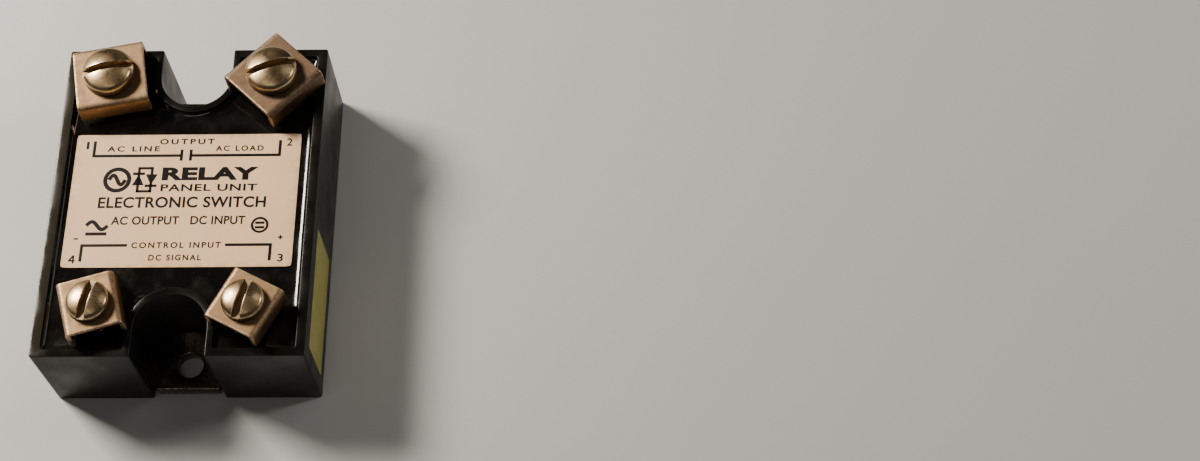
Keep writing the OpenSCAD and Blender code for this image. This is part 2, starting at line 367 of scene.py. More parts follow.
def dress(piece: bpy.types.Object, paint: bpy.types.Material, body: str, slot: str, *nodes: str) -> None:
    """Paints a finished piece, puts it on its body and lets it stand for its CAD nodes."""
    piece.data.materials.clear()
    piece.data.materials.append(paint)
    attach(piece, body)
    if nodes:
        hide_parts(*nodes)
    LOG.info("%s: %d faces on %s", piece.name, len(piece.data.polygons), body)


# ---------------------------------------------------------------------------------------------
# Materials from expressions
# ---------------------------------------------------------------------------------------------


class Wire:
    """The output of a shader node, which takes part in arithmetic like a number."""

    def __init__(self, paint: "Paint", socket: bpy.types.NodeSocket) -> None:
        """Wraps one socket of one material."""
        self.paint = paint
        self.socket = socket

    def _math(self, operation: str, first: Value, second: Value = 0.0) -> "Wire":
        """Adds one Math node."""
        return self.paint.node("ShaderNodeMath", {"operation": operation}, {0: first, 1: second})

    def __add__(self, other: Value) -> "Wire":
        """self + other."""
        return self._math("ADD", self, other)

    __radd__ = __add__

    def __sub__(self, other: Value) -> "Wire":
        """self - other."""
        return self._math("SUBTRACT", self, other)

    def __rsub__(self, other: Value) -> "Wire":
        """other - self."""
        return self._math("SUBTRACT", other, self)

    def __mul__(self, other: Value) -> "Wire":
        """self * other."""
        return self._math("MULTIPLY", self, other)

    __rmul__ = __mul__

    def __abs__(self) -> "Wire":
        """The size of self without its sign."""
        return self._math("ABSOLUTE", self)

    def above(self, other: Value) -> "Wire":
        """1 where self is greater than other, else 0."""
        return self._math("GREATER_THAN", self, other)

    def largest(self, other: Value) -> "Wire":
        """The larger of the two."""
        return self._math("MAXIMUM", self, other)

    def between(self, low: float, high: float, start: float = 0.0, stop: float = 1.0) -> "Wire":
        """Maps low..high to start..stop smoothly, and holds it there outside."""
        return self.paint.node(
            "ShaderNodeMapRange",
            {"interpolation_type": "SMOOTHSTEP"},
            {"Value": self, "From Min": low, "From Max": high, "To Min": start, "To Max": stop},
        )


class Paint:
    """Builds one material: patterns, mixes and a Principled surface."""

    def __init__(self, name: str) -> None:
        """Starts an empty node material."""
        self.material = bpy.data.materials.new(name)
        self.material.use_nodes = True
        self.tree = self.material.node_tree
        self.tree.nodes.clear()
        self.coordinates = self.node("ShaderNodeTexCoord", {}, {}, "Object")

    def node(self, kind: str, settings: dict, inputs: dict, output: Union[str, int] = 0) -> Wire:
        """Adds a node.

        Args:
            kind: the node's type.
            settings: attributes set before the sockets.
            inputs: socket name or number to a value or a wire.
            output: name or number of the socket to return.

        Returns:
            The wire of that output.
        """
        made = self.tree.nodes.new(kind)
        for key, value in settings.items():
            setattr(made, key, value)
        for key, value in inputs.items():
            socket = made.inputs[key]
            if isinstance(value, Wire):
                self.tree.links.new(value.socket, socket)
            elif socket.type == "RGBA" and len(value) == 3:
                socket.default_value = (*value, 1.0)
            else:
                socket.default_value = value
        return Wire(self, made.outputs[output]) if made.outputs else made

    def moved(self, scale: Sequence[float] = (1, 1, 1), turn: float = 0.0) -> Wire:
        """Object coordinates, stretched and turned about Z by an angle in degrees."""
        return self.node(
            "ShaderNodeMapping",
            {"vector_type": "TEXTURE"},
            {"Vector": self.coordinates, "Scale": tuple(1 / s for s in scale),
             "Rotation": (0, 0, math.radians(turn))},
        )

    def noise(self, size: float, detail: float = 3.0, rough: float = 0.55, at: Optional[Wire] = None,
              twist: float = 0.0) -> Wire:
        """Cloudy noise whose blotches are about size millimetres across."""
        return self.node(
            "ShaderNodeTexNoise",
            {},
            {"Vector": at or self.coordinates, "Scale": 1 / (size * MM), "Detail": detail,
             "Roughness": rough, "Distortion": twist},
        )

    def cells(self, size: float, at: Optional[Wire] = None) -> Wire:
        """Distance to the nearest of a set of scattered points about size millimetres apart."""
        inputs = {"Vector": at or self.coordinates, "Scale": 1 / (size * MM)}
        return self.node("ShaderNodeTexVoronoi", {}, inputs, "Distance")

    def scratches(self, length: float, width: float, turn: float, amount: float) -> Wire:
        """Thin straight marks: noise drawn out along one direction, with only its crests kept.

        Args:
            length: length of a mark in millimetres.
            width: its width in millimetres.
            turn: its direction about Z, in degrees.
            amount: share of the noise's range that is kept, from 0 to 1.
        """
        stretched = self.moved((width / length, 1, width / length), turn)
        return self.noise(width, 1.0, 0.4, stretched).between(0.74 - 0.2 * amount, 0.8 - 0.2 * amount)

    def wear(self) -> Wire:
        """The wear value that a skin gives each point."""
        return self.node("ShaderNodeAttribute", {"attribute_name": "edge"}, {}, "Fac")

    def edge(self) -> Wire:
        """How exposed a point is, from 0 to 1."""
        return self.wear().largest(0.0)

    def recess(self) -> Wire:
        """How much painted shade, or on the case resin, a point holds: 0 for none, and past 1 also painted
        light on the case.
        """
        return (0.0 - self.wear()).largest(0.0)

    def mix(self, factor: Value, first: Union[Wire, Colour], second: Union[Wire, Colour]) -> Wire:
        """A colour between two colours."""
        return self.node("ShaderNodeMix", {"data_type": "RGBA"}, {0: factor, 6: first, 7: second}, 2)

    def bump(self, height: Wire, depth: float, below: Optional[Wire] = None) -> Wire:
        """A normal tilted by a height pattern of the given depth in millimetres."""
        inputs = {"Height": height, "Distance": depth * MM, "Strength": 1.0}
        if below is not None:
            inputs["Normal"] = below
        return self.node("ShaderNodeBump", {}, inputs, "Normal")

    def surface(self, **sockets: object) -> bpy.types.Material:
        """Finishes the material with a Principled surface.

        Args:
            sockets: the shader's sockets, with _ in place of the spaces in their names.

        Returns:
            The finished material.
        """
        inputs = {key.replace("_", " "): value for key, value in sockets.items()}
        shader = self.node("ShaderNodeBsdfPrincipled", {}, inputs, "BSDF")
        self.node("ShaderNodeOutputMaterial", {}, {"Surface": shader})
        return self.material


@dataclass(frozen=True)
class MouldedPlastic:
    """Thermoset or thermoplastic with a fine moulded grain, dust, worn edges and, where the wear asks for it,
    painted light.
    """

    name: str
    colour: Colour
    rubbed_and_lit: Colour
    roughness: float = 0.27
    grain: float = 0.22
    depth: float = 0.005
    gloss: float = 0.35

    def paint(self) -> bpy.types.Material:
        """Grain in the normal, cloudy roughness, and paler worn edges and scuffs.

        A recess from 0 to 1 is wet with resin, and past 1 the colour also turns paler: painted light.
        """
        p = Paint(self.name)
        cloud = p.noise(6.0, 4.0)
        grain = p.noise(self.grain, 4.0, 0.65)
        speck = 1.0 - p.cells(1.1).between(0.03, 0.09)
        scuff = p.scratches(3.0, 0.12, 25, 0.25).largest(p.scratches(2.4, 0.1, -50, 0.2))
        worn = p.edge() * p.noise(0.8, 3.0).between(0.35, 0.62)
        streak = p.noise(0.5, 2.0, 0.5, p.moved((1, 1, 0.04))).between(0.45, 0.75)
        colour = p.mix(cloud.between(0.3, 0.75, 0.0, 0.12).largest(streak * 0.15), self.colour, self.rubbed_and_lit)
        # Worn edges turn paler, and past a recess of 1 so does the case's left rim, which is painted light.
        colour = p.mix((worn * 0.7).largest(p.recess() - 1.0), colour, self.rubbed_and_lit)
        colour = p.mix((speck * 0.25).largest(scuff * 0.2), colour, self.rubbed_and_lit)
        rough = cloud.between(0.3, 0.7, self.roughness - 0.07, self.roughness + 0.1)
        rough = rough - worn * 0.08 - p.recess().between(0.0, 1.0) * 0.28
        normal = p.bump(grain, self.depth, p.bump(p.noise(9.0, 2.0), 0.06))
        return p.surface(Base_Color=colour, Roughness=rough, Normal=normal, Specular_IOR_Level=self.gloss)


@dataclass(frozen=True)
class PouredEpoxy:
    """Glossy potting: a slightly uneven pour with dust and hairline scratches."""

    name: str
    colour: Colour
    dust: Colour

    def paint(self) -> bpy.types.Material:
        """Long low waves in the normal, and dust that dulls the gloss."""
        p = Paint(self.name)
        waves = p.noise(7.0, 1.0, 0.4, None, 0.4)
        haze = p.noise(4.0, 4.0).between(0.42, 0.72)
        dust = 1.0 - p.cells(0.8).between(0.03, 0.08)
        marks = p.scratches(4.0, 0.08, 15, 0.2).largest(p.scratches(3.0, 0.07, 70, 0.2))
        colour = p.mix((haze * 0.12).largest(dust * 0.35), self.colour, self.dust)
        rough = 0.07 + haze * 0.1 + marks * 0.12 + dust * 0.3
        normal = p.bump(p.noise(0.9, 2.0), 0.004, p.bump(waves, 0.12))
        return p.surface(Base_Color=colour, Roughness=rough, Normal=normal, Specular_IOR_Level=0.5)


@dataclass(frozen=True)
class PlatedMetal:
    """Plated or bare metal with a rolled or turned grain, tarnish, bright worn edges and painted shade in
    recesses.
    """

    name: str
    colour: Colour
    tarnish: Colour
    bright: Colour
    roughness: float = 0.3
    tarnished: float = 0.4
    grain_turn: Optional[float] = 0.0
    grain_depth: float = 0.004

    def paint(self) -> bpy.types.Material:
        """Blotchy tarnish, directional or even grain, marks, bright edges, and painted shade where the wear
        is below 0.
        """
        p = Paint(self.name)
        blotch = p.noise(2.6, 5.0, 0.6, None, 0.6)
        fine = p.noise(0.35, 3.0)
        if self.grain_turn is None:
            grain = p.noise(0.12, 3.0)
        else:
            grain = p.noise(0.09, 2.0, 0.6, p.moved((0.06, 1, 0.06), self.grain_turn))
        marks = p.scratches(2.2, 0.07, 20, 0.35).largest(p.scratches(1.6, 0.06, -35, 0.3))
        worn = p.edge() * p.noise(0.5, 2.0).between(0.3, 0.6)
        painted_shade = p.recess()
        stain = blotch.between(0.38, 0.72) * self.tarnished
        colour = p.mix(stain, self.colour, self.tarnish)
        colour = p.mix(fine.between(0.4, 0.7) * 0.18, colour, self.tarnish)
        colour = p.mix((worn * 0.8).largest(marks * 0.3), colour, self.bright)
        # Darker, and rougher, where the wear is below 0: painted shade in slots, under screw heads and down
        # the plates' lips.
        colour = p.mix(painted_shade * 0.85, colour, tuple(0.03 + 0.08 * c for c in self.tarnish))
        rough = blotch.between(0.3, 0.75, self.roughness - 0.06, self.roughness + 0.12)
        rough = rough + grain.between(0.3, 0.7, -0.04, 0.05) - worn * 0.06 + painted_shade * 0.3
        normal = p.bump(grain, self.grain_depth, p.bump(fine, 0.006))
        return p.surface(Base_Color=colour, Metallic=1.0, Roughness=rough, Normal=normal)


@dataclass(frozen=True)
class PrintedFilm:
    """Coated paper or film: near-even colour, faint yellowing, handling marks."""

    name: str
    colour: Colour
    aged: Colour
    roughness: float = 0.38
    wrinkle: float = 0.03

    def paint(self) -> bpy.types.Material:
        """Two scales of discolouring, a fibre bump, and a dirty edge."""
        p = Paint(self.name)
        cloud = p.noise(9.0, 4.0)
        fibre = p.noise(0.18, 4.0, 0.7)
        smear = p.scratches(6.0, 0.5, 8, 0.3)
        dirt = p.edge() * p.noise(1.2, 3.0).between(0.3, 0.65)
        colour = p.mix(cloud.between(0.3, 0.75, 0.0, 0.8), self.colour, self.aged)
        colour = p.mix(fibre.between(0.35, 0.75) * 0.12, colour, self.aged)
        colour = p.mix(dirt * 0.45, colour, tuple(0.45 * c for c in self.aged))
        rough = cloud.between(0.3, 0.7, self.roughness - 0.05, self.roughness + 0.08) - smear * 0.06
        normal = p.bump(fibre, 0.003, p.bump(p.noise(5.0, 2.0), self.wrinkle))
        return p.surface(Base_Color=colour, Roughness=rough, Normal=normal, Specular_IOR_Level=0.3)


@dataclass(frozen=True)
class Ink:
    """Screen-printed ink, thinner in places."""

    name: str
    colour: Colour
    thin: Colour

    def paint(self) -> bpy.types.Material:
        """Ink that lets a little of the film through where it is thin."""
        p = Paint(self.name)
        cover = p.noise(0.25, 3.0, 0.7).between(0.55, 0.8) * 0.5
        colour = p.mix(cover, self.colour, self.thin)
        rough = 0.3 + cover * 0.2
        normal = p.bump(p.noise(0.15), 0.002)
        return p.surface(Base_Color=colour, Roughness=rough, Normal=normal, Specular_IOR_Level=0.15)


@dataclass(frozen=True)
class Fired:
    """Alumina, lacquered ceramic or a silicon chip, with optional bands across X."""

    name: str
    colour: Colour
    shade: Colour
    roughness: float = 0.5
    bands: tuple[tuple[float, Colour], ...] = ()
    middle: float = 0.0

    def paint(self) -> bpy.types.Material:
        """Speckle and pores; each band is a stripe at its own distance from the middle, in mm."""
        p = Paint(self.name)
        cloud = p.noise(1.5, 4.0)
        pores = p.cells(0.3).between(0.04, 0.15)
        colour = p.mix(cloud.between(0.35, 0.7) * 0.6, self.colour, self.shade)
        across = p.node("ShaderNodeSeparateXYZ", {}, {0: p.coordinates}, "X")
        for offset, tint in self.bands:
            gap = abs(across - (self.middle + offset) * MM)
            colour = p.mix(1.0 - gap.above(0.3 * MM), colour, tint)
        rough = cloud.between(0.3, 0.7, self.roughness - 0.08, self.roughness + 0.1)
        return p.surface(Base_Color=colour, Roughness=rough, Normal=p.bump(pores, 0.01, p.bump(cloud, 0.02)))


@dataclass(frozen=True)
class Laminate:
    """Circuit board: woven glass under solder mask, with paler tracks below it."""

    name: str
    mask: Colour
    track: Colour

    def paint(self) -> bpy.types.Material:
        """A fine weave in the normal, and square-edged tracks from one stretched brick pattern."""
        p = Paint(self.name)
        weave = p.node("ShaderNodeTexChecker", {}, {"Vector": p.coordinates, "Scale": 1 / (0.35 * MM)}, "Fac")
        tracks = p.node(
            "ShaderNodeTexBrick",
            {"offset": 0.5},
            {"Vector": p.coordinates, "Scale": 1 / (2.6 * MM), "Mortar Size": 0.11, "Mortar Smooth": 0.0,
             "Brick Width": 1.4, "Row Height": 0.5},
            "Fac",
        )
        colour = p.mix(tracks * 0.7, self.mask, self.track)
        colour = p.mix(p.noise(3.0).between(0.35, 0.7) * 0.25, colour, tuple(0.6 * c for c in self.mask))
        rough = p.noise(1.0).between(0.3, 0.7, 0.28, 0.42)
        normal = p.bump(tracks, 0.02, p.bump(weave, 0.008))
        return p.surface(Base_Color=colour, Roughness=rough, Normal=normal)


@dataclass(frozen=True)
class TableTop:
    """The pale floor that the object stands on."""

    name: str
    colour: Colour
    shade: Colour

    def paint(self) -> bpy.types.Material:
        """A plain satin surface with a faint large-scale drift."""
        p = Paint(self.name)
        drift = p.noise(160.0, 2.0)
        colour = p.mix(drift.between(0.3, 0.7), self.colour, self.shade)
        rough = p.noise(40.0).between(0.3, 0.7, 0.5, 0.58)
        return p.surface(Base_Color=colour, Roughness=rough, Normal=p.bump(p.noise(0.8, 3.0), 0.01))


class Finish(Enum):
    """Every finish on the object."""

    CASE = MouldedPlastic("case_black", (0.0055, 0.0053, 0.0044), (0.032, 0.028, 0.02), 0.42)
    POTTING = PouredEpoxy("potting_black", (0.004, 0.0035, 0.003), (0.05, 0.045, 0.038))
    # The base plate's colour and near-black tarnish are darkened as painted shade, for the shade inside the
    # notches.
    BASE = PlatedMetal("base_metal", (0.12, 0.085, 0.065), (0.04, 0.028, 0.02), (0.5, 0.42, 0.36),
                       0.18, 0.8, 0.0, 0.002)
    CLAMP = PlatedMetal("clamp_nickel", (0.285, 0.183, 0.1), (0.185, 0.115, 0.063), (0.74, 0.53, 0.35),
                        0.48, 0.6, 35.0, 0.005)
    # A darker copy of the plate finish, used on one plate.
    CLAMP_DARKER = PlatedMetal("clamp_nickel_darker", (0.215, 0.14, 0.088), (0.135, 0.086, 0.054),
                             (0.6, 0.43, 0.3), 0.46, 0.8, 35.0, 0.005)
    SCREW = PlatedMetal("screw_nickel", (0.5, 0.36, 0.2), (0.28, 0.18, 0.1), (0.93, 0.78, 0.54),
                        0.29, 0.7, None, 0.003)
    POST = PlatedMetal("post_brass", (0.62, 0.44, 0.19), (0.3, 0.19, 0.08), (0.85, 0.68, 0.38),
                       0.3, 0.5, None, 0.004)
    COPPER = PlatedMetal("copper", (0.71, 0.33, 0.2), (0.3, 0.13, 0.08), (0.9, 0.55, 0.4),
                         0.28, 0.5, 0.0, 0.004)
    TINNED = PlatedMetal("tinned_wire", (0.66, 0.66, 0.64), (0.4, 0.4, 0.38), (0.85, 0.85, 0.84),
                         0.3, 0.4, None, 0.006)
    TOP_FILM = PrintedFilm("top_label_film", (0.93, 0.64, 0.38), (0.85, 0.55, 0.3))
    SIDE_FILM = PrintedFilm("side_label_paper", (0.46, 0.42, 0.115), (0.35, 0.32, 0.08), 0.42, 0.1)
    INK = Ink("print_ink", (0.007, 0.006, 0.007), (0.06, 0.045, 0.04))
    ALUMINA = Fired("alumina", (0.85, 0.84, 0.79), (0.7, 0.69, 0.64), 0.6)
    SILICON = Fired("silicon", (0.2, 0.21, 0.25), (0.1, 0.105, 0.13), 0.25)
    BOARD = Laminate("board_laminate", (0.02, 0.11, 0.045), (0.09, 0.26, 0.1))
    PACKAGE = MouldedPlastic("package_black", (0.014, 0.014, 0.015), (0.06, 0.06, 0.06), 0.5, 0.12, 0.006)
    CAPACITOR = MouldedPlastic("capacitor_box", (0.6, 0.36, 0.03), (0.7, 0.5, 0.15), 0.3, 0.2, 0.006)
    RESISTOR = Fired("resistor_body", (0.55, 0.41, 0.24), (0.46, 0.33, 0.19), 0.3,
                     ((-1.8, (0.3, 0.03, 0.02)), (-0.9, (0.05, 0.05, 0.3)), (0.0, (0.35, 0.1, 0.02))), 10.5)
    GATE_RESISTOR = Fired("gate_resistor_body", (0.55, 0.41, 0.24), (0.46, 0.33, 0.19), 0.3,
                          ((-1.8, (0.2, 0.05, 0.02)), (-0.9, (0.02, 0.02, 0.02)), (0.0, (0.35, 0.1, 0.02))),
                          -11.0)
    SNUBBER = Fired("snubber_ceramic", (0.25, 0.3, 0.4), (0.18, 0.22, 0.3), 0.35,
                    ((-2.6, (0.35, 0.25, 0.02)), (-1.4, (0.2, 0.02, 0.2)), (-0.2, (0.02, 0.02, 0.02))), -8.0)
    TABLE = TableTop("table_pale", (0.6, 0.605, 0.6), (0.57, 0.575, 0.57))

    @cache
    def material(self) -> bpy.types.Material:
        """The finish's material, made the first time it is asked for."""
        return self.value.paint()


# ---------------------------------------------------------------------------------------------
# Case, potting, base plate
# ---------------------------------------------------------------------------------------------


@dataclass
class NotchedPlan:
    """The relay's plan: a rectangle with a round-ended notch cut into each end.

    Every outline has the same number of points in the same order, so that any two outlines can be
    joined into a wall.
    """

    half_width: float
    half_length: float
    notch_centre: float
    notch_radius: float
    corner: float = 0.4
    mouth: float = 0.3
    step_y: float = 27.4

    def outline(self, side: float = 0.0, end: float = 0.0, notch: float = 0.0, corner: Optional[float] = None,
                mouth: Optional[float] = None) -> Array:
        """One closed counter-clockwise outline, moved inwards by its own distance at each kind of wall.

        The first quarter runs up the right side, round the corner, along the end, round the mouth of
        the notch, down its straight side and along a quarter of its arc. The rest is its mirror image
        in X, and then both turned half a turn.
        """
        w, l, n = self.half_width - side, self.half_length - end, self.notch_radius + notch
        rc = self.corner if corner is None else corner
        rm = self.mouth if mouth is None else mouth
        c = self.notch_centre
        arc = np.linspace(0, math.pi / 2, 7)
        small = np.linspace(math.pi / 2, math.pi, 6)
        round_end = np.linspace(0, -math.pi / 2, 31)
        level = max(min(self.step_y, l - rm - 0.02), c + 0.5)
        quarter_points = np.vstack([
            np.column_stack([np.full(14, w), np.linspace(0, l - rc, 15)[:-1]]),
            np.column_stack([w - rc + rc * np.cos(arc), l - rc + rc * np.sin(arc)]),
            np.column_stack([np.linspace(w - rc, n + rm, 12)[1:-1], np.full(10, l)]),
            np.column_stack([n + rm + rm * np.cos(small), l - rm + rm * np.sin(small)]),
            np.column_stack([np.full(2, n), np.array([level + 0.01, level - 0.01])]),
            np.column_stack([np.full(4, n), np.linspace(level, c, 6)[1:-1]]),
            np.column_stack([n * np.cos(round_end), c + n * np.sin(round_end)]),
        ])
        mirrored = quarter_points[::-1][1:-1] * (-1, 1)
        first_half = np.vstack([quarter_points, mirrored, [[-w, 0.0]]])
        return np.vstack([first_half[:-1], -first_half[:-1]])

    def in_notch(self) -> Array:
        """True for the outline's points that lie past the step in each notch."""
        ring = self.outline()
        return (np.abs(ring[:, 0]) <= self.notch_radius + 1e-6) & (np.abs(ring[:, 1]) < self.step_y)


@dataclass
class Case:
    """The moulded shell: four walls, a U wall round each notch, and the sticker on its side."""

    plan: NotchedPlan
    side_wall: float
    end_wall: float
    notch_wall: float
    height: float
    base_top: float
    rim_edge: float = 0.13
    inner_edge: float = 0.1
    foot_edge: float = 0.12
    sticker_proud: float = 0.05
    painted_light_from: float = 20.5

    def ring(self, share: float, distance: float, z: float) -> Array:
        """One row of the wall: share 0 is the outer face and 1 the inner face."""
        walls = [self.side_wall, self.end_wall, self.notch_wall]
        away = [share * wall + distance for wall in walls]
        corner = 0.5 if share else self.plan.corner
        mouth = self.plan.mouth + (0.2 if share else 0.0)
        outline = self.plan.outline(*away, corner=max(corner - 0.6 * distance, 0.08),
                                    mouth=max(mouth - 0.5 * distance, 0.06))
        floor = np.where(self.plan.in_notch(), self.base_top, 0.0)
        return lift(outline, np.maximum(z, floor))

    def shell(self) -> bpy.types.Object:
        """The wall's section carried round the plan, with rounded rim edges.

        Resin wets the top of the rim, and on the left wall the rim's top is also painted paler: painted
        light.
        """
        outer = [(0, d, self.height - drop) for d, drop in quarter(self.rim_edge, 4)]
        inner = [(1, -d, self.height - drop) for d, drop in quarter(self.inner_edge, 3)[::-1]]
        foot = [(0, self.foot_edge, 0.0), (0, 0.0, self.foot_edge), (0, 0.0, 0.5 * self.height)]
        section = foot + outer + inner + [(1, 0.0, self.base_top), (1, 0.0, 0.0), (0, self.foot_edge, 0.0)]
        below, inside = [0.5, 0.5, 0.0], [0.0, 0.0, 0.5]
        # On the left wall, values below -1 paint the rim's top paler: painted light.
        left_wear_and_light = np.array([*below, -0.3, -0.9, -1.2, -1.7, -1.9, -1.9, -1.0, 0.0, 0.1, *inside])
        wet = np.array([*below, 0.25, 0.7, 0.8, 0.2, -1.0, -1.0, 0.1, 0.4, 0.1, *inside])
        rows = np.stack([self.ring(*row) for row in section])
        left = np.clip(-rows[2, :, 0] - self.painted_light_from, 0, 1)
        skin = Skin().grid(rows, wear=np.outer(left_wear_and_light, left) + np.outer(wet, 1 - left), wrap=True)
        return skin.build("case_shell_moulded", sharp=30)

    def sticker(self) -> bpy.types.Object:
        """The side label: a thin rounded sheet standing on the wall, a little proud of it."""
        low, high = node_box("side_label")
        sheet = rectangle((low[1], low[2]), (high[1], high[2]), 0.5, 5)
        piece = slab(Skin(), sheet, (0.0, high[0] - low[0]), 0.02, steps=1).build("side_label_sheet")
        wall = (low[0] + self.sticker_proud) * MM
        piece.data.transform(Matrix(((0, 0, 1, wall), (1, 0, 0, 0), (0, 1, 0, 0), (0, 0, 0, 1))))
        return piece


@dataclass
class Potting:
    """The poured filling, which climbs the walls and the posts."""

    case: Case
    level: float
    posts: Sequence[tuple[float, float, float]]
    climb: float = 0.5
    reach: float = 0.5
    spread: float = 3.0

    def rise(self, distance: Array) -> Array:
        """Height above the level at a distance from a wall: climb * exp(-distance / reach)."""
        return self.climb * np.exp(-distance / self.reach)

    def fill(self) -> bpy.types.Object:
        """Rings parallel to the walls and round the posts, joined by one flat middle."""
        c = self.case
        near = np.array([0, 0.04, 0.1, 0.18, 0.28, 0.4, 0.55, 0.75, 1.0, 1.35, 1.8, 2.4, self.spread])
        heights = self.level + self.rise(near) - self.rise(np.array(self.spread))
        rings = [
            lift(c.plan.outline(c.side_wall + d, c.end_wall + d, c.notch_wall + d, corner=0.5 + 0.5 * d,
                                mouth=0.5 + 0.3 * d), z)
            for d, z in zip(near, heights)
        ]
        skin = Skin().grid(np.stack(rings), wrap=True)
        wall = rings[0]
        foot = wall.copy()
        foot[:, 2] = c.base_top
        skin.grid(np.stack([foot, wall]), wrap=True).cap(foot[:, :2], [], c.base_top)
        holes = []
        small = near[near <= 1.5]
        for x, y, radius in self.posts:
            spots = [circle(radius + d, 72, (x, y)) for d in small]
            drop = self.rise(small) - self.rise(small[-1])
            rows = np.stack([lift(spot, self.level + 0.7 * d) for spot, d in zip(spots, drop)])
            deep = lift(spots[0], c.base_top + 1.0)
            skin.grid(np.concatenate([deep[None], rows]), wrap=True).fan(deep, (x, y, c.base_top + 1.0))
            holes.append(spots[-1])
        skin.cap(rings[-1][:, :2], holes, self.level)
        return skin.build("potting_pour", sharp=50)


@dataclass
class BasePlate:
    """The metal floor with a tongue and a drilled hole in each notch."""

    hole_radius: float = 2.25
    edge: float = 0.14

    def plate(self, tongue: float, pocket: tuple[float, float]) -> bpy.types.Object:
        """A slab outline of the pocket with both tongues.

        Args:
            tongue: half the tongues' width.
            pocket: half the width and half the length of the pocket in the case.
        """
        low, high = node_box("base_plate")
        w, l = pocket
        outline = rounded([
            (-w, -l), (-tongue, -l), (-tongue, low[1]), (tongue, low[1]), (tongue, -l), (w, -l),
            (w, l), (tongue, l), (tongue, high[1]), (-tongue, high[1]), (-tongue, l), (-w, l),
        ], 0.15, 3)
        holes = [circle(self.hole_radius, 72, (0, s * HOLE_CENTRE)) for s in (-1, 1)]
        skin = slab(Skin(), outline, (low[2], high[2]), self.edge, holes)
        return skin.build("base_plate_drilled", sharp=30)


# ---------------------------------------------------------------------------------------------
# Terminals
# ---------------------------------------------------------------------------------------------


@dataclass(frozen=True)
class ScrewSize:
    """Sizes of one terminal screw."""

    head_radius: float
    head_height: float
    side_height: float
    thread_radius: float
    length: float
    slot_width: float
    slot_floor: float
    pitch: float = 0.794
    edge: float = 0.55
    slot_edge: float = 0.1

    def dome(self, radius: Array) -> Array:
        """Height of the domed top: a spherical cap, rounded off where it meets the side."""
        rise = self.head_height - self.side_height
        ball = (self.head_radius**2 + rise**2) / (2 * rise)
        cap = self.head_height - ball + np.sqrt(np.maximum(ball**2 - radius**2, 0))
        over = np.clip(radius - (self.head_radius - self.edge), 0, self.edge)
        return cap - (self.edge - np.sqrt(self.edge**2 - over**2))

    def lip(self, distance: Array) -> Array:
        """Drop of the top beside the slot: a quarter circle over the slot's edge radius."""
        near = np.clip(self.slot_edge - distance, 0, self.slot_edge)
        return self.slot_edge - np.sqrt(self.slot_edge**2 - near**2)


